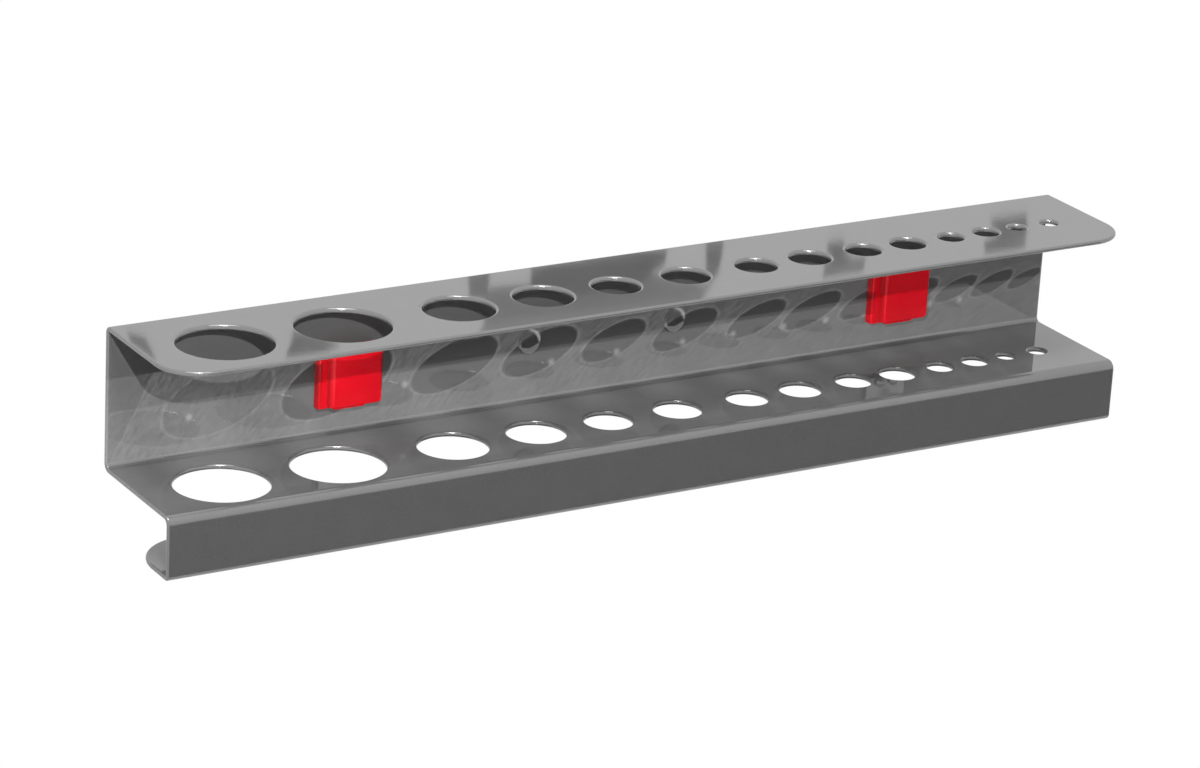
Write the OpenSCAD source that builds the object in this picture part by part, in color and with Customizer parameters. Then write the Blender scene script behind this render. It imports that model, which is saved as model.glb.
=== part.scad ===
// Pegboard tool holder: one bent steel sheet with two rows of tool holes,
// hung on a perforated board by two steel hooks, each locked by a red sprung slide.
// Millimetres. X runs along the holder, Y points into the wall, Z is up.
// The origin is midway between the two dimples, on the rear face of the sheet.

/* [Sheet] */
// Length of the holder
holder_l = 450; // [420:1:600]
// Height of the back panel, outside
back_h = 60.5; // [56:0.5:80]
// Depth of the upper shelf from the wall
top_depth = 62.5; // [60:0.5:80]
// Depth of the lower shelf from the wall
low_depth = 59; // [57:0.5:80]
// Height of the front lip, from the top face of the lower shelf
lip_h = 26.8; // [20:0.1:40]
// Depth of the return at the bottom of the lip
return_depth = 36.5; // [25:0.5:45]
// Sheet thickness
sheet_t = 2; // [1.8:0.1:2.4]
// Inside radius of the two bends of the lower shelf
soft_bend_r = 2; // [1:0.1:3]
// Inside radius of the upper bend and of the return's bend
tight_bend_r = 0.5; // [0.3:0.1:1.5]
// Radius of the upper shelf's front corners
top_corner_r = 18; // [10:1:24]
// Radius of the return's rear corners
return_corner_r = 22; // [10:1:24]

/* [Tool holes] */
// Distance of the hole centres from the wall
hole_line = 34.3; // [33.5:0.1:35.5]
// Diameter of holes 1 and 2
hole_a_d = 38.5; // [30:0.5:40]
// Diameter of hole 3
hole_b_d = 29; // [20:0.5:32]
// Diameter of hole 4
hole_c_d = 24.5; // [18:0.5:28]
// Diameter of holes 5 and 6
hole_d_d = 20; // [16:0.5:24]
// Diameter of holes 7 and 8
hole_e_d = 17.5; // [14:0.5:20]
// Diameter of holes 9 and 10
hole_f_d = 15; // [12:0.5:17]
// Diameter of holes 11 and 12
hole_g_d = 11; // [8:0.5:13]
// Diameter of holes 13 and 14
hole_h_d = 7.5; // [6:0.5:9]

/* [Dimples] */
// Distance between the two dimples of the back panel
dimple_pitch = 70; // [50:1:120]
// Drop of the dimple line below the top of the holder
dimple_drop = 32; // [28:0.5:40]
// Diameter of a dimple's flat floor
dimple_floor_d = 5.3; // [4:0.1:6]
// Diameter of a dimple at the front
dimple_d = 11; // [9:0.1:12]
// Depth of a dimple
dimple_depth = 1.3; // [0.8:0.1:1.4]

/* [Perforated board] */
// Pitch of the board's holes
board_pitch = 38; // [38:1:40]
// Width and height of a board hole
board_hole = 10; // [9.8:0.1:10.2]
// Thickness of the board
board_t = 1.5; // [1.2:0.1:1.6]
// Least distance from an end of the holder to a clip's middle
clip_inset = 78; // [60:1:80]
// Shift of the pair of clips to the right of the middle
clip_shift = 11.5; // [5:0.5:20]

/* [Clip housing] */
// Width of a clip housing
clip_w = 26.4; // [26.4:0.1:28]
// Height of a clip above the dimple line
clip_rise = 11; // [10.8:0.1:12]
// Reach of a clip below the dimple line
clip_drop = 14; // [13.8:0.1:14.4]
// Distance that a housing stands off the sheet
clip_d = 5; // [5:0.1:5.6]
// Width of the housing's band beside the slide
band_w = 3.8; // [3.4:0.1:4]
// Radius of the housing's left front edge
band_edge_r = 1; // [0.5:0.1:1.5]
// Gap behind the housing's rim
rim_gap = 1; // [0.6:0.1:1.3]
// Inset of the housing's foot from its rim
foot_inset = 1; // [0.6:0.1:1.2]
// Thickness of the housing's floor
floor_t = 1.2; // [1:0.1:1.3]
// Thickness of the lips over the slide's runners
lip_t = 0.9; // [0.8:0.1:1]
// Distance that each lip reaches over its channel
lip_reach = 1.2; // [1.1:0.1:1.3]
// Wall at each end of the channel
end_wall = 1; // [0.8:0.1:1]

/* [Lock slide] */
// Travel of a slide from locked to released
slide_travel = 4.5; // [4:0.1:4.6]
// Distance that a slide's cap stands off the sheet
cap_d = 9; // [8.8:0.1:10]
// Wall of the cap
cap_wall = 1.8; // [1.6:0.1:1.9]
// Radius of the cap's left front edge
cap_edge_r = 2; // [1:0.1:2.5]
// Radius of the cap's lower right corner
cap_corner_r = 1.5; // [0.5:0.1:2]
// Height of the thumb rib under the cap
thumb_rib_h = 1.2; // [0.8:0.1:1.4]
// Set-back of the thumb rib from the cap's face
rib_setback = 1.2; // [0.6:0.1:1.8]
// Width of the locking tongue
tongue_w = 5; // [4.6:0.1:5]
// Height of the locking tongue
tongue_h = 4.5; // [4:0.1:4.6]
// Sliding clearance
slide_clear = 0.15; // [0.1:0.01:0.18]

/* [Board hook] */
// Thickness of a hook's plate
plate_t = 1.5; // [1.4:0.1:1.5]
// Width of a hook's plate
plate_w = 20; // [18:0.1:20.4]
// Distance from each end of the housing to its hook's plate
plate_inset = 1.8; // [1.6:0.1:1.9]
// Thickness of a hook
hook_t = 3.6; // [3:0.1:3.6]
// Height of a hook's neck
neck_h = 5; // [4.6:0.1:5]
// Drop of a hook's tip below its neck
hook_drop = 4.3; // [4:0.1:4.4]
// Depth of a hook's tip
tip_t = 2.5; // [2:0.1:4]
// Play of the board behind the sheet
board_play = 0.5; // [0.3:0.1:1]

/* [Rivets] */
// Diameter of a rivet
rivet_d = 2.4; // [2:0.1:2.4]
// Diameter of a rivet's head
rivet_head_d = 4.5; // [4:0.1:4.5]
// Height of a rivet's head
rivet_head_h = 1.1; // [0.8:0.1:1.2]
// Drop of the rivets below the dimple line
rivet_drop = 10.2; // [10.1:0.1:10.3]
// Distance of each rivet from the clip's middle
rivet_x = 3.5; // [3.4:0.1:4]

/* [Return spring] */
// Wire diameter of a return spring
wire_d = 0.5; // [0.4:0.05:0.55]
// Outside diameter of a return spring
spring_d = 4; // [3.6:0.1:4]
// Turns of a return spring
spring_turns = 6; // [5:1:6]

/* [Hidden] */
$fn = 96;

sheet_colour = [0.45, 0.46, 0.47];
plastic_colour = [0.75, 0.03, 0.08];
slide_colour = [0.82, 0.02, 0.07];
steel_colour = [0.72, 0.73, 0.75];

// One overrun for every cut
over = 1;
// Clearance between fixed pieces that fit in one another
fit = 0.1;

// Sheet
top_z = dimple_drop;
low_z = top_z - back_h;
lip_z = low_z + sheet_t - lip_h;
soft_out_r = soft_bend_r + sheet_t;
tight_out_r = tight_bend_r + sheet_t;

// Tool holes, as shares of the length from the left end
hole_x_shares = [
    0.077, 0.1905, 0.3055, 0.391, 0.4667, 0.5405, 0.6162,
    0.675, 0.7345, 0.7845, 0.8335, 0.8738, 0.9102, 0.9473
];
hole_ds = [
    hole_a_d, hole_a_d, hole_b_d, hole_c_d, hole_d_d, hole_d_d, hole_e_d,
    hole_e_d, hole_f_d, hole_f_d, hole_g_d, hole_g_d, hole_h_d, hole_h_d
];
hole_xs = [for (share = hole_x_shares) (share - 1 / 2) * holder_l];

// Clips, whole board pitches apart
clip_columns = floor((holder_l - 2 * (clip_inset + clip_shift)) / board_pitch);
clip_span = board_pitch * clip_columns;
left_x = clip_shift - clip_span / 2;
right_x = clip_shift + clip_span / 2;

// Heights of a hook and its slide, from the dimple line
neck_z = neck_h / 2;
tip_z = -neck_z - hook_drop;
hole_foot_z = -neck_z;
tongue_top = hole_foot_z + board_hole - 2 * fit;
tongue_foot = tongue_top - tongue_h;
slot_top = tongue_top + 2 * fit;
slot_foot = tongue_foot - slide_travel - 2 * fit;

// A hook and its tongue share a board hole side by side
side_play = 4 * fit;
hook_left = side_play - board_hole / 2;
hook_right = hook_left + hook_t;
tongue_right = board_hole / 2 - side_play;
tongue_left = tongue_right - tongue_w;
window_w = board_hole + 4 * fit;
window_top = slot_top + 4 * fit;
window_foot = tip_z - 4 * fit;

// Depths of a clip, from the front of the sheet
floor_d = plate_t + floor_t;
lip_d = clip_d - lip_t;
runner_back = floor_d + slide_clear;
runner_front = lip_d - slide_clear;
cap_back = clip_d + slide_clear;
cap_wall_d = cap_d - cap_wall;

// Widths of a clip, from its middle
cap_left = band_w - clip_w / 2;
cap_right = clip_w / 2;
web_out = -cap_left - cap_wall;
web_in = web_out - floor_t;
lip_in = web_out + 2 * slide_clear;
channel_half = lip_in + lip_reach;
runner_out = channel_half - 2 * slide_clear;

// Heights of a clip, from the dimple line
plate_top = clip_rise - plate_inset;
plate_foot = plate_inset - clip_drop;
channel_top = clip_rise - end_wall;
channel_foot = end_wall - clip_drop;
cap_foot = thumb_rib_h - clip_drop;
runner_top = channel_top - 2 * slide_clear;
runner_foot = channel_foot + slide_travel + 2 * slide_clear;

// Return spring
spring_x = (tongue_left + tongue_right) / 2;
spring_mid = (runner_back + cap_wall_d) / 2;
shelf_top = slot_foot - spring_d;
shelf_t = floor_t;
spring_foot = shelf_top + fit;
spring_top = tongue_foot - fit;
coil_r = (spring_d - wire_d) / 2;
post_r = coil_r - wire_d;

// A block: across from the clip's middle, forward of the sheet, up from the dimple line
module block(x0, x1, d0, d1, z0, z1) {
    translate([x0, -sheet_t - d1, z0])
        cube([x1 - x0, d1 - d0, z1 - z0]);
}

// A quarter of a bent strip, in the plane of the sheet's profile
module bend(centre, turn, inner_r) {
    outer_r = inner_r + sheet_t;
    translate(centre)
        rotate(turn)
            intersection() {
                difference() {
                    circle(r = outer_r);
                    circle(r = inner_r);
                }
                square(outer_r);
            }
}

// A strip of the profile, from its lowest to its highest corner
module strip(y0, z0, y1, z1) {
    translate([y0, z0])
        square([y1 - y0, z1 - z0]);
}

module profile() {
    // back panel
    strip(-sheet_t, low_z + soft_out_r, 0, top_z - tight_out_r);
    // upper shelf
    bend([-tight_out_r, top_z - tight_out_r], 0, tight_bend_r);
    strip(-top_depth, top_z - sheet_t, -tight_out_r, top_z);
    // lower shelf
    bend([-soft_out_r, low_z + soft_out_r], 270, soft_bend_r);
    strip(soft_out_r - low_depth, low_z, -soft_out_r, low_z + sheet_t);
    // front lip
    bend([soft_out_r - low_depth, low_z + sheet_t - soft_out_r], 90, soft_bend_r);
    strip(-low_depth, lip_z + tight_out_r, sheet_t - low_depth, low_z + sheet_t - soft_out_r);
    // return under the lip
    bend([tight_out_r - low_depth, lip_z + tight_out_r], 180, tight_bend_r);
    strip(tight_out_r - low_depth, lip_z, return_depth - low_depth, lip_z + sheet_t);
}

// What a rounded corner cuts away: x_side and y_side are 1 or -1, towards the corner
module corner_cut(x, y, z, r, x_side, y_side) {
    translate([x, y, z - over])
        mirror([x_side < 0 ? 1 : 0, 0, 0])
            mirror([0, y_side < 0 ? 1 : 0, 0])
                translate([-r, -r, 0])
                    difference() {
                        cube([r + over, r + over, sheet_t + 2 * over]);
                        translate([0, 0, -over])
                            cylinder(r = r, h = sheet_t + 4 * over);
                    }
}

module dimple_cut(x) {
    translate([x, dimple_depth - sheet_t, 0])
        rotate([90, 0, 0])
            cylinder(d1 = dimple_floor_d, d2 = dimple_d, h = dimple_depth);
}

module holder_shelf() {
    color(sheet_colour)
        difference() {
            translate([-holder_l / 2, 0, 0])
                rotate([90, 0, 90])
                    linear_extrude(holder_l)
                        profile();
            for (side = [-1, 1]) {
                corner_cut(side * holder_l / 2, -top_depth, top_z - sheet_t, top_corner_r, side, -1);
                corner_cut(side * holder_l / 2, return_depth - low_depth, lip_z, return_corner_r, side, 1);
                dimple_cut(side * dimple_pitch / 2);
            }
            for (i = [0 : len(hole_xs) - 1])
                translate([hole_xs[i], -hole_line, low_z - over])
                    cylinder(d = hole_ds[i], h = back_h + 2 * over);
            for (x = [left_x, right_x])
                translate([x, 0, 0]) {
                    block(-window_w / 2, window_w / 2, -sheet_t - over, over, window_foot, window_top);
                    rivet_holes(-sheet_t - over, over);
                    for (side = [-1, 1])
                        rivet_sink(side);
                }
        }
}

// Holes for both rivets of a clip, between two depths
module rivet_holes(d0, d1) {
    for (side = [-1, 1])
        translate([side * rivet_x, -sheet_t - d0, -rivet_drop])
            rotate([90, 0, 0])
                cylinder(d = rivet_d + fit, h = d1 - d0);
}

// Countersink on the wall side for a rivet's closed end
module rivet_sink(side) {
    translate([side * rivet_x, 0, -rivet_drop])
        rotate([90, 0, 0])
            cylinder(d1 = rivet_head_d, d2 = rivet_d + fit, h = sheet_t / 2);
}

module rivet(side) {
    color(steel_colour)
        translate([side * rivet_x, 0, -rivet_drop]) {
            rotate([90, 0, 0])
                cylinder(d1 = rivet_head_d - 2 * fit, d2 = rivet_d, h = sheet_t / 2 - fit);
            rotate([90, 0, 0])
                cylinder(d = rivet_d, h = sheet_t + floor_d + rivet_head_h / 2);
            translate([0, -sheet_t - floor_d, 0])
                rivet_head();
        }
}

// Domed head: a slice of a ball, flat side on the housing's floor
module rivet_head() {
    ball_r = (pow(rivet_head_d / 2, 2) + pow(rivet_head_h, 2)) / (2 * rivet_head_h);
    rotate([90, 0, 0])
        intersection() {
            translate([0, 0, rivet_head_h - ball_r])
                sphere(r = ball_r);
            cylinder(d = rivet_head_d, h = rivet_head_h);
        }
}

module board_hook() {
    color(steel_colour)
        difference() {
            union() {
                block(-plate_w / 2, plate_w / 2, 0, plate_t, plate_foot, plate_top);
                // neck through the sheet and the board
                block(hook_left, hook_right, -sheet_t - board_t - board_play - tip_t, plate_t / 2,
                    -neck_z, neck_z);
                // tip that drops behind the board
                difference() {
                    block(hook_left, hook_right, -sheet_t - board_t - board_play - tip_t,
                        -sheet_t - board_t - board_play, tip_z, neck_z);
                    tip_chamfer();
                }
            }
            block(tongue_left - side_play, tongue_right + side_play, -over, plate_t + over,
                slot_foot, slot_top);
            rivet_holes(-over, plate_t + over);
        }
}

// Slope on the tip's lower rear edge, which leads it into the board
module tip_chamfer() {
    chamfer = tip_t / 2;
    translate([hook_left - over, board_t + board_play + tip_t, tip_z])
        rotate([45, 0, 0])
            translate([0, -chamfer, -chamfer])
                cube([hook_t + 2 * over, 2 * chamfer, chamfer + chamfer / 2]);
}

module clip_housing() {
    half_w = clip_w / 2;
    color(plastic_colour)
        difference() {
            union() {
                translate([0, -sheet_t, -clip_drop])
                    linear_extrude(clip_rise + clip_drop)
                        difference() {
                            translate([-half_w, -clip_d])
                                square([clip_w, clip_d - rim_gap]);
                            edge_cut(-half_w, -clip_d, band_edge_r);
                        }
                // foot that meets the sheet
                block(foot_inset - half_w, half_w - foot_inset, 0, rim_gap + fit,
                    foot_inset - clip_drop, clip_rise - foot_inset);
            }
            // pocket over the hook's plate
            block(-plate_w / 2 - fit, plate_w / 2 + fit, -over, plate_t, plate_foot - fit,
                plate_top + fit);
            // channel of the runners, and its mouth between the lips
            block(-channel_half, channel_half, floor_d, lip_d, channel_foot, channel_top);
            block(-lip_in, lip_in, floor_d, clip_d + over, channel_foot, channel_top);
            // slot of the tongue
            block(tongue_left - side_play, tongue_right + side_play, 0, floor_d + over,
                slot_foot, slot_top);
            rivet_holes(plate_t - over, floor_d + over);
        }
    color(plastic_colour)
        spring_shelf();
}

// What a rounded vertical edge cuts from a plan, at its left front corner
module edge_cut(x, y, r) {
    translate([x, y])
        difference() {
            translate([-over, -over])
                square(r + over);
            translate([r, r])
                circle(r = r);
        }
}

// Shelf and post under the return spring, standing on the housing's floor
module spring_shelf() {
    half = spring_d / 2;
    block(spring_x - half, spring_x + half, floor_d - floor_t / 2, cap_wall_d - 2 * slide_clear,
        shelf_top - shelf_t, shelf_top);
    translate([spring_x, -sheet_t - spring_mid, shelf_top - fit])
        cylinder(r = post_r, h = spring_d / 4 + fit);
}

module lock_slide() {
    color(slide_colour)
        union() {
            cap();
            // webs and runners under the lips
            for (side = [0, 1])
                mirror([side, 0, 0]) {
                    block(web_in, web_out, runner_back, cap_wall_d + fit, runner_foot, runner_top);
                    block(web_in, runner_out, runner_back, runner_front, runner_foot, runner_top);
                }
            tongue();
        }
}

// Hollow cap with a rounded left edge and a thumb rib under it
module cap() {
    difference() {
        intersection() {
            translate([0, -sheet_t, cap_foot])
                linear_extrude(clip_rise - cap_foot)
                    difference() {
                        translate([cap_left, -cap_d])
                            square([cap_right - cap_left, cap_d - cap_back]);
                        edge_cut(cap_left, -cap_d, cap_edge_r);
                    }
            cap_face();
        }
        block(-web_out, cap_right - cap_wall, cap_back - over, cap_wall_d, cap_foot + cap_wall,
            clip_rise - cap_wall);
    }
    // thumb rib, set back from the face
    block(cap_left + cap_edge_r, web_in, cap_back, cap_d - rib_setback, -clip_drop,
        cap_foot + cap_wall);
}

// Front view of the cap: square, but for its lower right corner
module cap_face() {
    face_w = cap_right - cap_left;
    face_h = clip_rise - cap_foot;
    translate([cap_left, 0, cap_foot])
        rotate([90, 0, 0])
            linear_extrude(sheet_t + cap_d + over)
                difference() {
                    square([face_w, face_h]);
                    translate([face_w, 0])
                        mirror([1, 0])
                            edge_cut(0, 0, cap_corner_r);
                }
}

// Tongue that fills the board's hole beside the hook
module tongue() {
    difference() {
        block(tongue_left, tongue_right, -sheet_t - board_t, cap_wall_d + fit, tongue_foot, tongue_top);
        // slope that leads it into the board
        translate([tongue_left - over, board_t, tongue_top])
            rotate([45, 0, 0])
                translate([0, -board_t / 2, -board_t / 2])
                    cube([tongue_w + 2 * over, board_t, board_t]);
    }
}

// Compression spring as one tube, swept along a helix
spring_sides = 6;
turn_rings = 12;
coil_h = spring_top - spring_foot - wire_d;
function coil_point(i) =
    let (a = 360 * i / turn_rings)
    [coil_r * cos(a), coil_r * sin(a), wire_d / 2 + coil_h * i / (turn_rings * spring_turns)];
function coil_ring(i) =
    let (a = 360 * i / turn_rings, p = coil_point(i))
    [for (k = [0 : spring_sides - 1])
        let (b = 360 * k / spring_sides, r = wire_d / 2 * cos(b))
        p + [r * cos(a), r * sin(a), wire_d / 2 * sin(b)]];
coil_steps = turn_rings * spring_turns;
echo(least_coil_gap = coil_h / spring_turns - wire_d);

module return_spring() {
    points = [for (i = [0 : coil_steps]) each coil_ring(i)];
    sides = [for (i = [0 : coil_steps - 1], k = [0 : spring_sides - 1])
        let (a = i * spring_sides + k, b = i * spring_sides + (k + 1) % spring_sides)
        each [[a, b, b + spring_sides], [a, b + spring_sides, a + spring_sides]]];
    foot = [for (k = [1 : spring_sides - 2]) [0, k + 1, k]];
    last = coil_steps * spring_sides;
    head = [for (k = [1 : spring_sides - 2]) [last, last + k, last + k + 1]];
    color(steel_colour)
        translate([spring_x, -sheet_t - spring_mid, spring_foot])
            polyhedron(points = points, faces = concat(sides, foot, head));
}

holder_shelf();
translate([left_x, 0, 0]) board_hook();  // left_board_hook
translate([left_x, 0, 0]) rivet(-1);  // left_outer_rivet
translate([left_x, 0, 0]) rivet(1);  // left_inner_rivet
translate([left_x, 0, 0]) clip_housing();  // left_clip_housing
translate([left_x, 0, 0]) lock_slide();  // left_lock_slide
translate([left_x, 0, 0]) return_spring();  // left_return_spring
translate([right_x, 0, 0]) board_hook();  // right_board_hook
translate([right_x, 0, 0]) rivet(-1);  // right_inner_rivet
translate([right_x, 0, 0]) rivet(1);  // right_outer_rivet
translate([right_x, 0, 0]) clip_housing();  // right_clip_housing
translate([right_x, 0, 0]) lock_slide();  // right_lock_slide
translate([right_x, 0, 0]) return_spring();  // right_return_spring
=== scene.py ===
# Pegboard tool holder: one bent, coated steel sheet with two rows of tool holes,
# hung on a perforated board by two zinc-plated hooks, each locked by a red sprung slide.
import math

import bmesh
import bpy
from mathutils import Matrix, Vector


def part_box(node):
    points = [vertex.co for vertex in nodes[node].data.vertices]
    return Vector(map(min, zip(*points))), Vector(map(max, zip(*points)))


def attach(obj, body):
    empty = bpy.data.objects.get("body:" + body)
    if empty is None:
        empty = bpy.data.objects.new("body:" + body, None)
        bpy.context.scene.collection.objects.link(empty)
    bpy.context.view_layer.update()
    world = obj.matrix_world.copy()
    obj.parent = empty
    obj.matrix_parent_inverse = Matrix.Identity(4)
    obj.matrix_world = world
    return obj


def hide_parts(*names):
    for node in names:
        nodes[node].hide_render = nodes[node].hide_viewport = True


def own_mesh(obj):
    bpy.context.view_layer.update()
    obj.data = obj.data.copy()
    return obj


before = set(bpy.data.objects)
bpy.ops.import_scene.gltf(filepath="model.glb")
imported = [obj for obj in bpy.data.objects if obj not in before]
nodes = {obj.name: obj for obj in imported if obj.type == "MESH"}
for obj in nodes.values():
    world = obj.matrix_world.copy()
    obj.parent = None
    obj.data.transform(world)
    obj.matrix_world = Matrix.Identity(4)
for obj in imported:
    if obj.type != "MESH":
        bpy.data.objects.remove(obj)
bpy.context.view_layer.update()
mm = 0.001
print("frame loaded:", len(nodes), "nodes")


# shader and geometry nodes in plain words
class Lead:
    def __init__(self, bench, socket):
        self.bench = bench
        self.socket = socket

    def work(self, operation, first, second=0.0):
        return self.bench.put("ShaderNodeMath", {"operation": operation}, {0: first, 1: second})

    def __add__(self, other):
        return self.work("ADD", self, other)

    def __sub__(self, other):
        return self.work("SUBTRACT", self, other)

    def __rsub__(self, other):
        return self.work("SUBTRACT", other, self)

    def __mul__(self, other):
        return self.work("MULTIPLY", self, other)

    def __truediv__(self, other):
        return self.work("DIVIDE", self, other)

    def __gt__(self, other):
        return self.work("GREATER_THAN", self, other)

    def __abs__(self):
        return self.work("ABSOLUTE", self)


class Bench:
    def __init__(self, tree):
        self.tree = tree
        self.nodes = tree.nodes
        self.nodes.clear()

    def put(self, kind, settings=None, sockets=None, out=0):
        # adds a node and returns a lead from one output, or from each output that a tuple names
        node = self.nodes.new(kind)
        for name, value in (settings or {}).items():
            setattr(node, name, value)
        for name, value in (sockets or {}).items():
            self.plug(node.inputs[name], value)
        if isinstance(out, tuple):
            return tuple(Lead(self, node.outputs[name]) for name in out)
        return Lead(self, node.outputs[out]) if len(node.outputs) else None

    def plug(self, socket, value):
        if isinstance(value, Lead):
            self.tree.links.new(value.socket, socket)
        elif isinstance(value, list):
            for one in value:
                self.plug(socket, one)
        else:
            socket.default_value = value


def joined(bench, x, y, z=0.0):
    return bench.put("ShaderNodeCombineXYZ", None, {0: x, 1: y, 2: z})


def parted(bench, place):
    return bench.put("ShaderNodeSeparateXYZ", None, {0: place}, out=(0, 1, 2))


def distance(bench, one, other):
    return bench.put("ShaderNodeVectorMath", {"operation": "DISTANCE"}, {0: one, 1: other}, out="Value")


def ramp(bench, value, low, high, foot=0.0, head=1.0, kind="SMOOTHSTEP"):
    # goes from foot to head while the value goes from low to high
    return bench.put("ShaderNodeMapRange", {"interpolation_type": kind}, {
        0: value, 1: low, 2: high, 3: foot, 4: head})


def grain(bench, place, size, detail=2.0):
    # noise with a feature size in metres, centred on one half
    return bench.put("ShaderNodeTexNoise", None, {"Vector": place, "Scale": 1 / size, "Detail": detail})


def between(bench, share, low, high):
    # a mix of two colours; its sockets go by number, because several share a name
    return bench.put("ShaderNodeMix", {"data_type": "RGBA"}, {0: share, 6: low, 7: high}, out=2)


def swell(bench, height, depth, **under):
    return bench.put("ShaderNodeBump", None, {"Height": height, "Distance": depth, **under})


def grey(level):
    return (level, level, level, 1)


def newMaterial(name):
    material = bpy.data.materials.new(name)
    material.use_nodes = True
    return material, Bench(material.node_tree)


def surface(bench, **sockets):
    # the principled shader, with plain names for its sockets
    names = {
        "colour": "Base Color", "metal": "Metallic", "rough": "Roughness", "ior": "IOR", "normal": "Normal",
    }
    shader = bench.put("ShaderNodeBsdfPrincipled", None, {names[k]: v for k, v in sockets.items()})
    bench.put("ShaderNodeOutputMaterial", None, {"Surface": shader})


# finishes
coating = {
    "dark": 0.112, "light": 0.124, "mottle": 9 * mm,
    "fleck": 0.142, "speck": 0.4 * mm, "fleckStart": 0.56, "fleckFull": 0.74,
    "rough": 0.03, "roughCloud": 0.02, "ior": 2.0,
    # painted shade in the two dimples: its tone, its share, the radii where it starts and where it is full, and
    # the depth it reaches to
    "paintedDimpleShade": 0.035, "dimpleShadeShare": 0.4, "dimpleShadeEdge": 5.6 * mm, "dimpleShadeFull": 4.6 * mm, "dimpleShadeDepth": -3 * mm,
    "peel": 2.6 * mm, "peelDepth": 0.0015 * mm,
    "wave": 30 * mm, "waveDepth": 0.02 * mm,
}


def coatedSheet():
    # a glossy grey coat with fine flecks and a slight wave, with painted shade that darkens the two dimples
    c = coating
    material, bench = newMaterial("coatedSheet")
    place = bench.put("ShaderNodeTexCoord", out="Object")
    cloud = grain(bench, place, c["mottle"])
    tone = between(bench, cloud, grey(c["dark"]), grey(c["light"]))
    speck = grain(bench, place, c["speck"], 1.0)
    flecks = ramp(bench, speck, c["fleckStart"], c["fleckFull"], kind="LINEAR")
    tone = between(bench, flecks, tone, grey(c["fleck"]))
    across, depth, rise = parted(bench, place)
    away = distance(bench, joined(bench, abs(across), rise), (sheet["dimplePitch"] / 2 * mm, 0, 0))
    # painted shade: the coat's colour is darkened inside the two dimples, as if shade fell in the recesses
    paintedDimpleShade = ramp(bench, away, c["dimpleShadeEdge"], c["dimpleShadeFull"], kind="LINEAR") * (depth > c["dimpleShadeDepth"]) * c["dimpleShadeShare"]
    tone = between(bench, paintedDimpleShade, tone, grey(c["paintedDimpleShade"]))
    broad = swell(bench, grain(bench, place, c["wave"], 0.0), c["waveDepth"])
    fine = swell(bench, grain(bench, place, c["peel"], 1.0), c["peelDepth"], Normal=broad)
    surface(bench, colour=tone, rough=cloud * c["roughCloud"] + c["rough"], ior=c["ior"], normal=fine)
    return material


plastic = {
    "deep": (0.46, 0.0014, 0.007, 1), "bright": (0.54, 0.002, 0.01, 1), "cloud": 6 * mm,
    "rough": {"redHousing": 0.2, "redSlide": 0.17}, "roughCloud": 0.08, "ior": 1.4,
    "skin": 0.35 * mm, "skinDepth": 0.0025 * mm,
}


def mouldedPlastic(name):
    p = plastic
    material, bench = newMaterial(name)
    place = bench.put("ShaderNodeTexCoord", out="Object")
    cloud = grain(bench, place, p["cloud"])
    skin = swell(bench, grain(bench, place, p["skin"], 1.0), p["skinDepth"])
    tone = between(bench, cloud, p["deep"], p["bright"])
    surface(bench, colour=tone, rough=cloud * p["roughCloud"] + p["rough"][name], ior=p["ior"], normal=skin)
    return material


steel = {
    "zincPlate": {"tone": 0.62, "tint": (0.97, 0.98, 1.0), "rough": 0.3},
    "rivetSteel": {"tone": 0.6, "tint": (1, 1, 1), "rough": 0.28},
    "springSteel": {"tone": 0.5, "tint": (1, 1, 1), "rough": 0.22},
    "cloud": 3 * mm, "darkest": 0.82, "grain": 0.3 * mm, "grainDepth": 0.006 * mm, "roughGrain": 0.12,
}


def bareSteel(name):
    s, own = steel, steel[name]
    material, bench = newMaterial(name)
    place = bench.put("ShaderNodeTexCoord", out="Object")
    cloud = grain(bench, place, s["cloud"], 3.0)
    fine = grain(bench, place, s["grain"])
    low, high = (tuple(own["tone"] * share * c for c in own["tint"]) + (1,) for share in (s["darkest"], 1))
    surface(bench, colour=between(bench, cloud, low, high), metal=1.0, rough=fine * s["roughGrain"] + own["rough"],
            normal=swell(bench, fine, s["grainDepth"]))
    return material


# the bent sheet, in millimetres
sheet = {
    "length": 450, "backHeight": 60.5, "topDepth": 62.5, "lowDepth": 59, "lipHeight": 26.8, "returnDepth": 36.5,
    "thickness": 2, "softBend": 2, "tightBend": 0.5, "topCorner": 18, "returnCorner": 22, "topZ": 32,
    "bendSteps": 10, "holeSegments": 96, "cornerSteps": 24,
    "holeLine": 34.3,
    "holeDiameters": (38.5, 38.5, 29, 24.5, 20, 20, 17.5, 17.5, 15, 15, 11, 11, 7.5, 7.5),
    "holeShares": (0.077, 0.1905, 0.3055, 0.391, 0.4667, 0.5405, 0.6162,
                   0.675, 0.7345, 0.7845, 0.8335, 0.8738, 0.9102, 0.9473),
    "dimplePitch": 70, "dimpleFloor": 5.3, "dimpleWidth": 11, "dimpleDepth": 1.3,
    "clips": (-121.5, 144.5), "windowHalf": 5.2, "windowLow": -7.2, "windowHigh": 7.9,
    "rivetX": 3.5, "rivetZ": -10.2, "rivetHole": 2.5, "rivetSink": 4.5,
    "over": 1,
}
# how far the sheet's edges are rolled over, and what tells its faces and edges apart, in millimetres and degrees
rolls = {
    "upperRim": 1.25, "lowerRim": 0.5, "outerEdge": 0.9, "dishEdge": 0.6, "cutEdge": 0.2, "segments": 4,
    "sharpest": 20, "near": 0.1, "flush": 0.01, "square": 0.99, "cutReach": 20, "endMargin": 1,
}
# when points count as one, in metres, and faces as level, in radians, or as upright, by their normals
welds = {"cut": 0.001 * mm, "slit": 0.002 * mm, "level": 0.001, "upright": 0.999}


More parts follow.
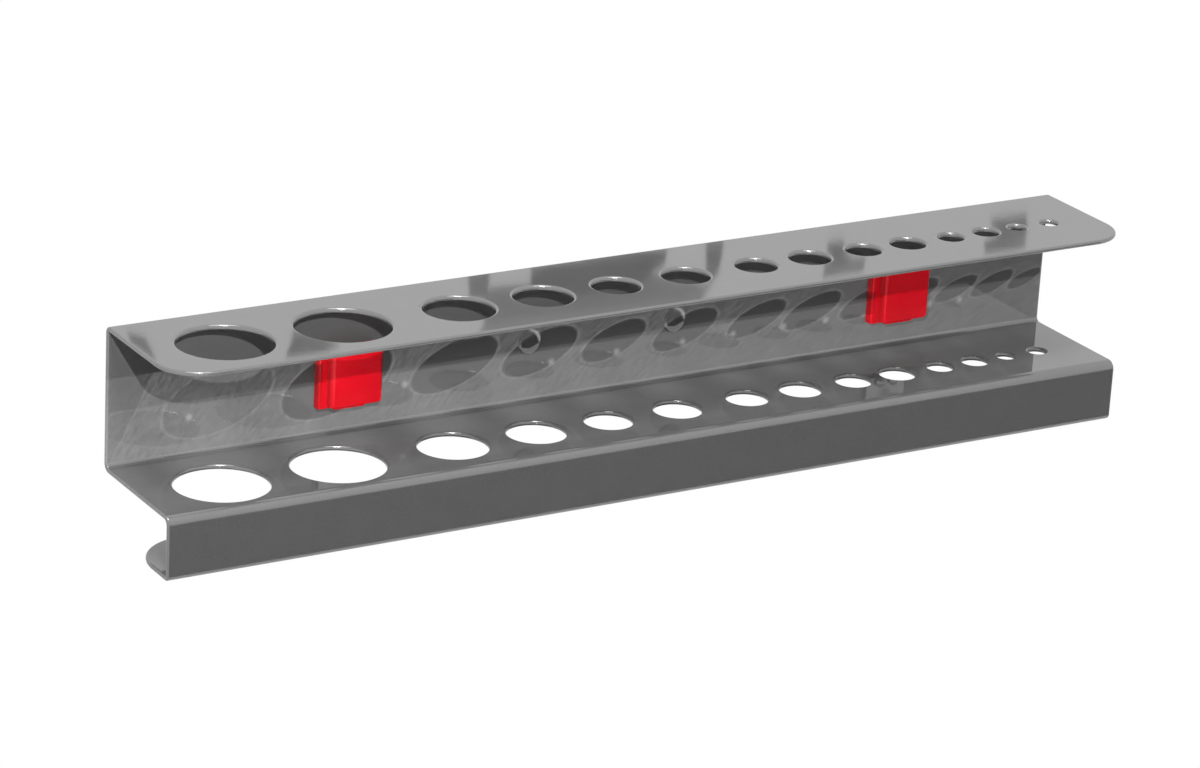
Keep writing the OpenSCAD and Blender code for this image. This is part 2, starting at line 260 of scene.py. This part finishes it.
def offsetPath(corners, radii, side, steps):
    # one side of a bent strip: the path's corners, rounded, and moved sideways
    points = []
    last = len(corners) - 1
    for i, corner in enumerate(corners):
        before = (corner - corners[i - 1]).normalized() if i else (corners[1] - corner).normalized()
        after = (corners[i + 1] - corner).normalized() if i < last else before
        left = Vector((-before.y, before.x))
        if i in (0, last):
            points.append(corner + left * side)
            continue
        turn = before.x * after.y - before.y * after.x
        radius = radii[i - 1]
        centre = corner - before * radius + left * radius * turn
        start = left * (-turn)
        for step in range(steps + 1):
            angle = turn * math.pi / 2 * step / steps
            spoke = Matrix.Rotation(angle, 2) @ start
            points.append(centre + spoke * (radius - side * turn))
    return points


def sheetOutline():
    s = sheet
    half = s["thickness"] / 2
    top = s["topZ"] - half
    low = s["topZ"] - s["backHeight"] + half
    lip = low + half - s["lipHeight"] + half
    front = half - s["lowDepth"]
    corners = [Vector(p) for p in (
        (-s["topDepth"], top), (-half, top), (-half, low), (front, low), (front, lip),
        (s["returnDepth"] - s["lowDepth"], lip))]
    tight, soft = s["tightBend"] + half, s["softBend"] + half
    radii = (tight, soft, soft, tight)
    one = offsetPath(corners, radii, half, s["bendSteps"])
    other = offsetPath(corners, radii, -half, s["bendSteps"])
    return one + other[::-1]


def holePlaces():
    # each hole's place along the holder, and its radius
    return [((share - 0.5) * sheet["length"], diameter / 2)
            for share, diameter in zip(sheet["holeShares"], sheet["holeDiameters"])]


def addPrism(mesh, outline, axis, start, end):
    # a closed prism: the outline's points at the start and the end along an axis
    def at(p, depth):
        return {"y": (p[0], depth, p[1]), "z": (p[0], p[1], depth)}[axis]
    rings = [[mesh.verts.new(at(p, depth)) for p in outline] for depth in (start, end)]
    mesh.faces.new(rings[0])
    mesh.faces.new(rings[1][::-1])
    for i, here in enumerate(rings[0]):
        following = (i + 1) % len(outline)
        mesh.faces.new((rings[0][following], here, rings[1][i], rings[1][following]))


def addTurned(mesh, x, z, profile, segments):
    # a closed turned cutter about an axis along Y: its profile gives radius and depth
    rings = []
    for radius, depth in profile:
        ring = []
        for i in range(segments):
            angle = 2 * math.pi * i / segments
            ring.append(mesh.verts.new((x + radius * math.cos(angle), depth, z + radius * math.sin(angle))))
        rings.append(ring)
    for near, far in zip(rings, rings[1:]):
        for i in range(segments):
            following = (i + 1) % segments
            mesh.faces.new((near[i], near[following], far[following], far[i]))
    mesh.faces.new(rings[0][::-1])
    mesh.faces.new(rings[-1])


def cornerOutline(x, y, radius, sideX, sideY, over, steps):
    # what a rounded corner cuts away, seen from above
    points = [(x + sideX * over, y - sideY * radius), (x + sideX * over, y + sideY * over),
              (x - sideX * radius, y + sideY * over)]
    centre = (x - sideX * radius, y - sideY * radius)
    for step in range(steps + 1):
        angle = math.pi / 2 * (1 - step / steps)
        points.append((centre[0] + sideX * radius * math.cos(angle), centre[1] + sideY * radius * math.sin(angle)))
    return points


def sheetCuts():
    # corners, dimples, and the clips' windows and rivet holes
    s = sheet
    mesh = bmesh.new()
    over, thick = s["over"], s["thickness"]
    lipZ = s["topZ"] - s["backHeight"] + thick - s["lipHeight"]
    for side in (-1, 1):
        end = side * s["length"] / 2
        corner = cornerOutline(end, -s["topDepth"], s["topCorner"], side, -1, over, s["cornerSteps"])
        addPrism(mesh, corner, "z", s["topZ"] - thick - over, s["topZ"] + over)
        rear = s["returnDepth"] - s["lowDepth"]
        corner = cornerOutline(end, rear, s["returnCorner"], side, 1, over, s["cornerSteps"])
        addPrism(mesh, corner, "z", lipZ - over, lipZ + thick + over)
        flat, wide = s["dimpleFloor"] / 2, s["dimpleWidth"] / 2
        slope = (wide - flat) / s["dimpleDepth"]
        profile = ((flat, s["dimpleDepth"] - thick), (wide + slope * over, -thick - over))
        addTurned(mesh, side * s["dimplePitch"] / 2, 0, profile, s["holeSegments"])
    for x in s["clips"]:
        half, low, high = s["windowHalf"], s["windowLow"], s["windowHigh"]
        window = ((x - half, low), (x + half, low), (x + half, high), (x - half, high))
        addPrism(mesh, window, "y", -thick - over, over)
        for side in (-1, 1):
            bore, head = s["rivetHole"] / 2, s["rivetSink"] / 2
            slope = (head - bore) / (thick / 2)
            profile = ((head + slope * over, over), (bore, -thick / 2), (bore, -thick - over))
            addTurned(mesh, x + side * s["rivetX"], s["rivetZ"], profile, s["holeSegments"] // 2)
    bmesh.ops.recalc_face_normals(mesh, faces=mesh.faces)
    bmesh.ops.scale(mesh, vec=(mm, mm, mm), verts=mesh.verts)
    return mesh


def newObject(name, mesh):
    data = bpy.data.meshes.new(name)
    mesh.to_mesh(data)
    mesh.free()
    made = bpy.data.objects.new(name, data)
    bpy.context.scene.collection.objects.link(made)
    return made


def newTree(name, inputs):
    tree = bpy.data.node_groups.new(name, "GeometryNodeTree")
    for label, kind in inputs.items():
        tree.interface.new_socket(name=label, in_out="INPUT", socket_type="NodeSocket" + kind)
    tree.interface.new_socket(name="Result", in_out="OUTPUT", socket_type="NodeSocketGeometry")
    bench = Bench(tree)
    leads = bench.put("NodeGroupInput", out=tuple(inputs))
    return tree, bench, dict(zip(inputs, leads))


def closeTree(bench, shape, material):
    whole = bench.put("GeometryNodeRealizeInstances", None, {0: shape})
    dressed = bench.put("GeometryNodeSetMaterial", None, {"Geometry": whole, "Material": material})
    bench.put("NodeGroupOutput", None, {0: dressed})


def punchedSheetTree():
    # pulls the outline along the holder and punches a hole at each marked point
    tree, bench, given = newTree("punchedSheet", {
        "Outline": "Geometry", "Length": "Float", "Punch length": "Float", "Punch segments": "Int",
        "Other cuts": "Object", "Coating": "Material"})
    radius = bench.put("GeometryNodeInputNamedAttribute", {"data_type": "FLOAT"}, {"Name": "holeRadius"})
    marks, outline = bench.put("GeometryNodeSeparateGeometry", None, {
        "Geometry": given["Outline"], "Selection": radius > 0.0}, out=(0, 1))
    pulled = bench.put("GeometryNodeExtrudeMesh", {"mode": "FACES"}, {
        "Mesh": outline, "Offset": (1, 0, 0), "Offset Scale": given["Length"], "Individual": False})
    base = bench.put("GeometryNodeFlipFaces", None, {0: outline})
    strip = bench.put("GeometryNodeJoinGeometry", None, {0: [pulled, base]})
    strip = bench.put("GeometryNodeMergeByDistance", None, {"Geometry": strip, "Distance": welds["cut"]})
    punch = bench.put("GeometryNodeMeshCylinder", {"fill_type": "NGON"}, {
        "Vertices": given["Punch segments"], "Radius": 1.0, "Depth": given["Punch length"]})
    punches = bench.put("GeometryNodeInstanceOnPoints", None, {
        "Points": marks, "Instance": punch, "Scale": joined(bench, radius, radius, 1.0)})
    punches = bench.put("GeometryNodeRealizeInstances", None, {0: punches})
    others = bench.put("GeometryNodeObjectInfo", None, {"Object": given["Other cuts"]}, out="Geometry")
    cuts = bench.put("GeometryNodeJoinGeometry", None, {0: [punches, others]})
    cut = bench.put("GeometryNodeMeshBoolean", {"operation": "DIFFERENCE", "solver": "EXACT"}, {0: strip, 1: cuts})
    closeTree(bench, cut, given["Coating"])
    return tree


def plainMesh(made, name, tree, values):
    # sets a tree's inputs by their sockets, and keeps its result as a plain mesh
    modifier = made.modifiers.new(name, "NODES")
    modifier.node_group = tree
    for item in tree.interface.items_tree:
        if item.in_out == "INPUT" and item.name in values:
            modifier[item.identifier] = values[item.name]
    graph = bpy.context.evaluated_depsgraph_get()
    data = bpy.data.meshes.new_from_object(made.evaluated_get(graph))
    made.modifiers.clear()
    made.data = data
    data.name = made.name
    return made


# the sharpest corner left alone, in degrees, and how shading favours the larger faces
softening = {"sharpest": 35, "largestFirst": 100, "sameArea": 0.1 * mm * mm}


def smoothEdges(made, segments, width, limit):
    # rolls the sharp edges over, and keeps the shading of the flat faces beside them flat
    for face in made.data.polygons:
        face.use_smooth = True
    bevel = made.modifiers.new("edges", "BEVEL")
    bevel.width = width
    bevel.segments = segments
    bevel.limit_method = limit
    bevel.angle_limit = math.radians(softening["sharpest"])
    bevel.use_clamp_overlap = False
    bevel.miter_outer = "MITER_ARC"
    level = made.modifiers.new("flats", "WEIGHTED_NORMAL")
    level.weight = softening["largestFirst"]
    level.thresh = softening["sameArea"]
    level.keep_sharp = True
    return made


def sheetFace(face):
    # true for the broad faces and bends of the sheet, false for the walls of a cut
    normal, place = face.normal, face.calc_center_median() / mm
    thick, deep, flush = sheet["thickness"], sheet["lowDepth"], rolls["flush"]
    if abs(normal.z) > rolls["square"]:
        return place.y < -thick - rolls["near"]
    if abs(normal.x) > flush:
        return False
    if abs(normal.z) < flush:
        return min(abs(place.y - y) for y in (0, -thick, -deep, thick - deep)) < flush
    return abs(place.z) > rolls["cutReach"]


def edgeRoll(edge):
    # hole rims roll over more on the upper side, small cuts in the panel roll the least
    broad = [face for face in edge.link_faces if sheetFace(face)]
    if len(broad) != 1:
        return 0
    normal = broad[0].normal
    middle = (edge.verts[0].co + edge.verts[1].co) / 2 / mm
    depth = middle.y + sheet["holeLine"]
    if any(abs(math.hypot(middle.x - x, depth) - radius) < rolls["near"] for x, radius in holePlaces()):
        return rolls["upperRim"] if normal.z > 0 else rolls["lowerRim"]
    inPanel = (abs(normal.y) > rolls["square"] and middle.y > -sheet["thickness"] - rolls["near"]
               and abs(middle.z) < rolls["cutReach"] and abs(middle.x) < sheet["length"] / 2 - rolls["endMargin"])
    if inPanel:
        atDish = abs(abs(middle.x) - sheet["dimplePitch"] / 2) < sheet["dimpleWidth"] and normal.y < 0
        return rolls["dishEdge"] if atDish else rolls["cutEdge"]
    return rolls["outerEdge"]


def partFaces(mesh):
    # cuts the pierced faces through the middles of their holes, and closes the slits that the punching left
    holeLines = [x for x, radius in holePlaces()]
    panelLines = [*sheet["clips"], -sheet["dimplePitch"] / 2, sheet["dimplePitch"] / 2]
    for axis, lines in (("z", holeLines), ("y", panelLines)):
        for x in lines:
            faces = [face for face in mesh.faces if abs(getattr(face.normal, axis)) > welds["upright"]]
            edges = {edge for face in faces for edge in face.edges}
            verts = {vert for face in faces for vert in face.verts}
            bmesh.ops.bisect_plane(mesh, geom=[*faces, *edges, *verts], dist=welds["cut"],
                                   plane_co=(x * mm, 0, 0), plane_no=(1, 0, 0))
    bmesh.ops.remove_doubles(mesh, verts=mesh.verts, dist=welds["slit"])
    spare = [edge for edge in mesh.edges
             if len(edge.link_faces) == 2 and edge.calc_face_angle(1) < welds["level"]
             and abs(edge.verts[0].co.x - edge.verts[1].co.x) > welds["slit"]]
    bmesh.ops.dissolve_edges(mesh, edges=spare, use_verts=False, use_face_split=False)


def weighEdges(made):
    # tells the bevel how far each sharp edge is rolled over
    mesh = bmesh.new()
    mesh.from_mesh(made.data)
    partFaces(mesh)
    weight = mesh.edges.layers.float.new("bevel_weight_edge")
    sharpest = math.radians(rolls["sharpest"])
    rolled = [edge for edge in mesh.edges if len(edge.link_faces) == 2 and edge.calc_face_angle(0) > sharpest]
    for edge in rolled:
        edge[weight] = edgeRoll(edge) / rolls["upperRim"]
    print("edges rolled:", len(rolled))
    mesh.to_mesh(made.data)
    mesh.free()


def holderShelf(material):
    s = sheet
    mesh = bmesh.new()
    radius = mesh.verts.layers.float.new("holeRadius")
    mesh.faces.new([mesh.verts.new((-s["length"] / 2, p.x, p.y)) for p in sheetOutline()])
    middle = s["topZ"] - s["backHeight"] / 2
    for x, r in holePlaces():
        mark = mesh.verts.new((x, -s["holeLine"], middle))
        mark[radius] = r * mm
    bmesh.ops.recalc_face_normals(mesh, faces=mesh.faces)
    for face in mesh.faces:
        if face.normal.x < 0:
            face.normal_flip()
    bmesh.ops.scale(mesh, vec=(mm, mm, mm), verts=mesh.verts)
    made = newObject("holderSheet", mesh)
    cuts = newObject("sheetCuts", sheetCuts())
    plainMesh(made, "punchedSheet", punchedSheetTree(), {
        "Length": s["length"] * mm, "Punch length": (s["backHeight"] + 2 * s["over"]) * mm,
        "Punch segments": s["holeSegments"], "Other cuts": cuts, "Coating": material})
    bpy.data.objects.remove(cuts)
    weighEdges(made)
    return smoothEdges(made, rolls["segments"], rolls["upperRim"] * mm, "WEIGHT")


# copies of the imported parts, with softened edges, in millimetres and degrees
copies = {"hookEdge": 0.35, "redEdge": 0.3, "segments": 3, "level": 0.5, "weld": 0.001 * mm}


def softened(node, name, material, width):
    mesh = bmesh.new()
    mesh.from_mesh(nodes[node].data)
    bmesh.ops.remove_doubles(mesh, verts=mesh.verts, dist=copies["weld"])
    level = math.radians(copies["level"])
    bmesh.ops.dissolve_limit(mesh, angle_limit=level, verts=mesh.verts, edges=mesh.edges)
    made = newObject(name, mesh)
    made.data.materials.append(material)
    return smoothEdges(made, copies["segments"], width * mm, "ANGLE")


# the return springs' wire, in millimetres
springSizes = {"wire": 0.5, "outside": 4, "turns": 6, "steps": 32, "sides": 12}


def springTree():
    # winds a wire about an upright axis
    tree, bench, given = newTree("woundSpring", {
        "Geometry": "Geometry", "Turns": "Float", "Steps": "Int", "Radius": "Float", "Height": "Float",
        "Wire radius": "Float", "Wire sides": "Int", "Place": "Vector", "Steel": "Material"})
    line = bench.put("GeometryNodeCurveSpiral", None, {
        "Resolution": given["Steps"], "Rotations": given["Turns"], "Start Radius": given["Radius"],
        "End Radius": given["Radius"], "Height": given["Height"]})
    ring = bench.put("GeometryNodeCurvePrimitiveCircle", None, {
        "Resolution": given["Wire sides"], "Radius": given["Wire radius"]})
    wire = bench.put("GeometryNodeCurveToMesh", None, {"Curve": line, "Profile Curve": ring, "Fill Caps": True})
    placed = bench.put("GeometryNodeTransform", None, {"Geometry": wire, "Translation": given["Place"]})
    closeTree(bench, placed, given["Steel"])
    return tree


def returnSpring(side, tree, material):
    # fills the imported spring's height with a wound wire
    s = springSizes
    low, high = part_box(side + "_return_spring")
    middle = (low + high) / 2
    wire = s["wire"] * mm / 2
    coil = plainMesh(newObject(side + "Spring", bmesh.new()), "woundSpring", tree, {
        "Turns": float(s["turns"]), "Steps": s["steps"], "Radius": s["outside"] * mm / 2 - wire,
        "Height": high.z - low.z - 2 * wire, "Wire radius": wire, "Wire sides": s["sides"],
        "Place": (middle.x, middle.y, low.z + wire), "Steel": material})
    for face in coil.data.polygons:
        face.use_smooth = True
    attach(coil, "holder")
    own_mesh(coil)
    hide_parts(side + "_return_spring")


# the holder and its clips
coat = coatedSheet()
housingRed = mouldedPlastic("redHousing")
slideRed = mouldedPlastic("redSlide")
zinc = bareSteel("zincPlate")
rivetSteel = bareSteel("rivetSteel")
springSteel = bareSteel("springSteel")

shelf = holderShelf(coat)
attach(shelf, "holder")
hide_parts("holder_shelf")
print("sheet punched and rolled:", len(shelf.data.polygons), "faces")

spring = springTree()
for side in ("left", "right"):
    for part, piece, material, width, body, slot in (
            ("board_hook", "BoardHook", zinc, copies["hookEdge"], "holder", "zinc_steel"),
            ("clip_housing", "ClipHousing", housingRed, copies["redEdge"], "holder", "red_housing"),
            ("lock_slide", "LockSlide", slideRed, copies["redEdge"], side + "_slide", "red_slide")):
        made = softened(side + "_" + part, side + piece, material, width)
        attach(made, body)
        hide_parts(side + "_" + part)
        made.visible_glossy = material is zinc  # the grey sheet mirrors no red
    for rivet in ("outer", "inner"):
        node = nodes[side + "_" + rivet + "_rivet"]
        node.data.materials.clear()
        node.data.materials.append(rivetSteel)
    returnSpring(side, spring, springSteel)
print("clips dressed")


# the camera, fitted to the photograph: angles in degrees, the focal length in pixels, the sensor in millimetres
camera = {
    "azimuth": -31.71, "elevation": 20.39, "roll": 3.201, "distance": 1.83454, "target": (0.0012, 0, -0.02495),
    "focal": 4399.27, "frameWidth": 1200, "frameHeight": 768, "sensor": 36, "nearest": 0.05, "farthest": 50,
}


def direction(azimuth, elevation):
    # from the object towards a viewer or a lamp; azimuth 0 looks along +Y
    a, e = math.radians(azimuth), math.radians(elevation)
    return Vector((math.sin(a) * math.cos(e), -math.cos(a) * math.cos(e), math.sin(e)))


def viewMatrix():
    back = direction(camera["azimuth"], camera["elevation"])
    across = (-back).cross(Vector((0, 0, 1))).normalized()
    turned = Matrix((across, back.cross(across), back)).transposed().to_4x4()
    roll = Matrix.Rotation(math.radians(camera["roll"]), 4, "Z")
    return Matrix.Translation(Vector(camera["target"]) + back * camera["distance"]) @ turned @ roll


def addCamera():
    data = bpy.data.cameras.new("camera")
    data.sensor_width = camera["sensor"]
    data.lens = camera["focal"] / camera["frameWidth"] * camera["sensor"]
    data.clip_start = camera["nearest"]
    data.clip_end = camera["farthest"]
    eye = bpy.data.objects.new("camera", data)
    eye.matrix_world = viewMatrix()
    bpy.context.scene.collection.objects.link(eye)
    bpy.context.scene.camera = eye


# floor, cards and background: places and sizes in metres, tones as shares of white
studio = {
    "floorZ": -1.1, "floorSize": 14, "floorShade": 0.03, "floorTone": 0.9, "sky": 0.15,
    "scrimY": -0.2, "scrimBox": (-0.5, 0.4, 0.03, 0.0665), "scrimShare": 0.6,
    "frontY": -0.8, "frontBox": (-0.2, 1.1, -0.75, -0.05), "frontTone": 0.02,
    "cardY": 0.9, "black": 0.0, "dusk": 0.1, "shade": 0.17, "grey": 0.32,
}
mirrored = {
    # the shapes that the upper shelf mirrors, each with its tone and its outline in pixels of the photograph
    "leftCorner": ("black", ((126, 332), (145, 338), (157, 363), (132, 345))),
    "secondHole": ("black", ((286, 358), (294, 331), (325, 336), (341, 346), (324, 353))),
    "middleLeft": ("dusk", ((468, 272), (490, 268), (488, 287), (487, 300), (470, 300))),
    "middle": ("black", ((531, 266), (668, 248), (665, 264), (650, 272), (640, 285), (590, 292), (560, 296),
                         (531, 290))),
    "middleShade": ("shade", ((487, 289), (531, 284), (531, 290), (560, 296), (590, 292), (640, 285), (650, 272),
                              (660, 275), (712, 286), (704, 295), (600, 310), (484, 322))),
    "middleFront": ("grey", ((484, 322), (600, 310), (704, 295), (699, 311), (599, 328), (475, 344))),
    "middleRight": ("dusk", ((706, 241), (724, 239), (719, 270), (711, 283), (706, 276))),
    "ninthHole": ("dusk", ((828, 243), (843, 241), (845, 250), (853, 257), (824, 262), (833, 256), (827, 250))),
    "ninthShade": ("shade", ((824, 262), (853, 257), (866, 256), (864, 271), (823, 279))),
    "twelfthHole": ("dusk", ((989, 221), (1027, 215), (1027, 232), (1000, 234), (991, 226))),
    "twelfthShade": ("shade", ((985, 240), (1000, 234), (1026, 232), (1025, 247), (985, 255))),
}


def mirrorPlace(right, down):
    # the point of the cards' plane that the upper shelf mirrors at a pixel of the photograph
    view = viewMatrix()
    ray = view.to_3x3() @ Vector((
        right - camera["frameWidth"] / 2, camera["frameHeight"] / 2 - down, -camera["focal"]))
    shelfPoint = view.translation + ray * ((sheet["topZ"] * mm - view.translation.z) / ray.z)
    ray.z = -ray.z
    place = shelfPoint + ray * ((studio["cardY"] - shelfPoint.y) / ray.y)
    return place.x, place.z


def boxOutline(x0, x1, z0, z1):
    return (x0, z0), (x1, z0), (x1, z1), (x0, z1)


def addPanel(name, points, material):
    mesh = bmesh.new()
    mesh.faces.new([mesh.verts.new(point) for point in points])
    panel = newObject(name, mesh)
    panel.data.materials.append(material)
    return panel


def hideFrom(made, *rays):
    for ray in rays:
        setattr(made, "visible_" + ray, False)


def seenRays(bench):
    # one for camera, glossy and transmission rays, which show the background itself
    seen, glossy, clear = bench.put("ShaderNodeLightPath", out=(
        "Is Camera Ray", "Is Glossy Ray", "Is Transmission Ray"))
    return seen.work("MAXIMUM", seen, glossy.work("MAXIMUM", glossy, clear))


def blended(bench, share, low, high):
    return bench.put("ShaderNodeMixShader", None, {0: share, 1: low, 2: high})


def glowing(bench, strength):
    return bench.put("ShaderNodeEmission", None, {"Color": grey(1.0), "Strength": strength})


def paleFloor():
    half, z = studio["floorSize"] / 2, studio["floorZ"]
    material, bench = newMaterial("paleFloor")
    matt = bench.put("ShaderNodeBsdfDiffuse", None, {"Color": grey(studio["floorTone"])})
    shown = blended(bench, seenRays(bench) * (1 - studio["floorShade"]), matt, glowing(bench, 1.0))
    bench.put("ShaderNodeOutputMaterial", None, {"Surface": shown})
    floor = addPanel("floor", [(x, y, z) for x, y in boxOutline(-half, half, -half, half)], material)


def addCard(name, outline, y, tone):
    # an upright card that is seen only in reflections
    material, bench = newMaterial(name)
    bench.put("ShaderNodeOutputMaterial", None, {"Surface": glowing(bench, tone)})
    card = addPanel(name, [(x, y, z) for x, z in outline], material)
    hideFrom(card, "camera", "diffuse", "transmission", "shadow")


def studioCards():
    # the dark room in front, and the shapes that the upper shelf mirrors
    addCard("darkRoom", boxOutline(*studio["frontBox"]), studio["frontY"], studio["frontTone"])
    for i, (tone, outline) in enumerate(mirrored.values()):
        places = [mirrorPlace(right, down) for right, down in outline]
        addCard("shelfCard" + str(i), places, studio["cardY"], studio[tone])


def lipScrim():
    # a strip of net that takes some of the key light off the front lip
    material, bench = newMaterial("scrimNet")
    clear = bench.put("ShaderNodeBsdfTransparent")
    thread = bench.put("ShaderNodeBsdfDiffuse", None, {"Color": grey(0.0)})
    bench.put("ShaderNodeOutputMaterial", None, {"Surface": blended(bench, studio["scrimShare"], clear, thread)})
    scrim = addPanel("lipScrim", [(x, studio["scrimY"], z) for x, z in boxOutline(*studio["scrimBox"])], material)
    hideFrom(scrim, "camera", "diffuse", "glossy", "transmission")


def paleWorld():
    world = bpy.data.worlds.new("studioWorld")
    world.use_nodes = True
    bpy.context.scene.world = world
    bench = Bench(world.node_tree)
    soft, white = (bench.put("ShaderNodeBackground", None, {"Color": grey(1.0), "Strength": strength})
                   for strength in (studio["sky"], 1.0))
    bench.put("ShaderNodeOutputWorld", None, {"Surface": blended(bench, seenRays(bench), soft, white)})


# lamps: angles in degrees, places in metres
softboxes = {
    "topSoftbox": {"azimuth": -20, "elevation": 66, "size": 14, "strength": 1.5},
    "ceilingSoftbox": {"azimuth": 0, "elevation": 84, "size": 35, "strength": 1.4},
}
keyLamp = {"place": (-0.461, -0.739, 0.43), "radius": 0.006, "power": 25.0}
bounce = {
    # the key light that the lower shelf throws back at the panel
    "azimuth": -30, "distance": 20, "spread": 3, "power": 10000, "lampRadius": 0.2 * mm,
    "faceY": -2 * mm, "shelfZ": -26.5 * mm, "rear": -4.5 * mm, "front": -57 * mm, "soft": 0.7 * mm,
    "endShare": 0.55, "leftShare": 1.25, "rightShare": 0.75,
    # round the holes
    "rim": 2.2 * mm, "ring": 1.1 * mm, "ringGlow": 0.55, "firstHole": 0.3,
    # the coat's orange peel
    "peel": 1.8 * mm, "peelShare": 1.8, "streak": 0.25,
    # the soft light that fills the lower part of the panel
    "fill": 0.8, "fillTop": 14 * mm, "fillFoot": -20 * mm, "beamFoot": -25.5 * mm,
    # bright spots under some of the holes
    "glints": (1, 3, 5, 6, 7, 8, 9, 10, 13, 14), "glintZ": -10.8 * mm, "glintDrift": 0.053, "glint": 2.4 * mm,
    "glintGlow": 2.6,
    # crescents on the dimples' walls, and the clips
    "crescentStart": 3.1 * mm, "crescentEnd": 5.2 * mm, "crescentLean": 2.6 * mm, "crescentGlow": 4.5,
    "clipGlow": 1.0,
}


def facing(place, target):
    turn = (Vector(target) - Vector(place)).to_track_quat("-Z", "Y").to_matrix().to_4x4()
    return Matrix.Translation(place) @ turn


def addLamp(name, kind, power, place):
    data = bpy.data.lights.new(name, kind)
    data.energy = power
    lamp = bpy.data.objects.new(name, data)
    lamp.matrix_world = facing(place, (0, 0, 0))
    bpy.context.scene.collection.objects.link(lamp)
    return data


def risen(bench, value, edge=0.0):
    # zero below an edge and one above it, with a soft step between
    return ramp(bench, value, edge - bounce["soft"], edge + bounce["soft"])


def beamPlaces(bench, angle):
    # where the beam meets the panel, and where the lower shelf would have thrown it back
    b = bounce
    side, rise, depth = parted(bench, bench.put("ShaderNodeTexCoord", out="Normal"))
    x = (side / depth * -b["distance"] - math.sin(angle) * b["faceY"]) * (1 / math.cos(angle))
    z = rise / depth * -b["distance"]
    sourceX, sourceY, sourceZ = keyLamp["place"]
    share = (z - b["shelfZ"]) / (z - (2 * b["shelfZ"] - sourceZ))
    return x, z, x + share * (sourceX - x), share * (sourceY - b["faceY"]) + b["faceY"]


def shelfLight(bench, shelfX, shelfY):
    # the light that comes off the lower shelf: little past its edges and from its holes, most along their rims
    b = bounce
    inside = sheet["length"] / 2 * mm - abs(shelfX)
    light = risen(bench, inside) * (1 - b["endShare"]) + b["endShare"]
    light = light * risen(bench, shelfY, b["front"]) * risen(bench, b["rear"] - shelfY)
    glow = ramp(bench, abs(inside), b["ring"], 0.0)
    spot = joined(bench, shelfX, shelfY)
    for i, (x, radius) in enumerate(holePlaces()):
        rim = distance(bench, spot, (x * mm, -sheet["holeLine"] * mm, 0)) - (radius * mm + b["rim"])
        share = 1.0 if i else b["firstHole"]
        light = light * (risen(bench, rim) * share + (1 - share))
        glow = glow + ramp(bench, abs(rim - b["soft"]), b["ring"], 0.0)
    streaks = grain(bench, joined(bench, shelfX, shelfY * b["streak"]), b["peel"]) - 0.5
    return light * (glow * b["ringGlow"] + 1) * (streaks * b["peelShare"] + 1)


def brightSpots(bench, x, z, light):
    # adds the spots under the holes, and the crescents on the upper right walls of the dimples
    b = bounce
    panel = joined(bench, x, z)
    holes = [hole for hole, radius in holePlaces()]
    for i in b["glints"]:
        hole = holes[i - 1]
        point = ((hole - b["glintDrift"] * (hole - holes[0])) * mm, b["glintZ"], 0)
        light = light + ramp(bench, distance(bench, panel, point), b["glint"], 0.0, head=b["glintGlow"])
    for dimpleX in (-sheet["dimplePitch"] / 2 * mm, sheet["dimplePitch"] / 2 * mm):
        away = distance(bench, panel, (dimpleX, 0, 0))
        wall = ramp(bench, away, b["crescentStart"], b["crescentStart"] + b["soft"])
        wall = wall * ramp(bench, away, b["crescentEnd"], b["crescentEnd"] - b["soft"])
        lean = ramp(bench, x - dimpleX + z, b["crescentLean"], 2 * b["crescentLean"], head=b["crescentGlow"])
        light = light + wall * lean
    return light


def clipWindows(bench, x, z, light, angle):
    # plain light on the clips, which stand in front of the panel
    b = bounce
    for side in ("left", "right"):
        low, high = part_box(side + "_clip_housing")
        middle = (low.x + high.x) / 2 - math.tan(angle) * (b["faceY"] - low.y)
        window = risen(bench, (high.x - low.x) / 2 - abs(x - middle)) * risen(bench, z, low.z)
        window = window * ramp(bench, z, high.z, high.z - 2 * b["soft"])
        light = light * (1 - window) + window * b["clipGlow"]
    return light


def bounceLight(data):
    # a lamp far in front whose beam has the shape of the light off the lower shelf
    b = bounce
    data.spot_size = math.radians(b["spread"])
    data.spot_blend = 0.0
    data.shadow_soft_size = b["lampRadius"]
    data.use_nodes = True
    bench = Bench(data.node_tree)
    angle = math.radians(b["azimuth"])
    x, z, shelfX, shelfY = beamPlaces(bench, angle)
    fill = ramp(bench, z, b["fillTop"], b["fillFoot"], head=b["fill"])
    fill = fill * ramp(bench, z, b["beamFoot"] - b["soft"], b["beamFoot"])
    light = brightSpots(bench, x, z, shelfLight(bench, shelfX, shelfY) + fill)
    light = clipWindows(bench, x, z, light, angle)
    end = sheet["length"] / 2 * mm
    light = light * ramp(bench, x, -end, end, b["leftShare"], b["rightShare"], "LINEAR")
    bench.put("ShaderNodeOutputLight", None, {"Surface": glowing(bench, light)})


def addLamps():
    for name, box in softboxes.items():
        place = direction(box["azimuth"], box["elevation"])
        addLamp(name, "SUN", box["strength"], place).angle = math.radians(box["size"])
    addLamp("key", "POINT", keyLamp["power"], keyLamp["place"]).shadow_soft_size = keyLamp["radius"]
    bounceLight(addLamp("bounce", "SPOT", bounce["power"], direction(bounce["azimuth"], 0) * bounce["distance"]))


paleFloor()
studioCards()
lipScrim()
paleWorld()
addLamps()
addCamera()
bpy.context.scene.view_settings.view_transform = "Standard"
print("studio lit")
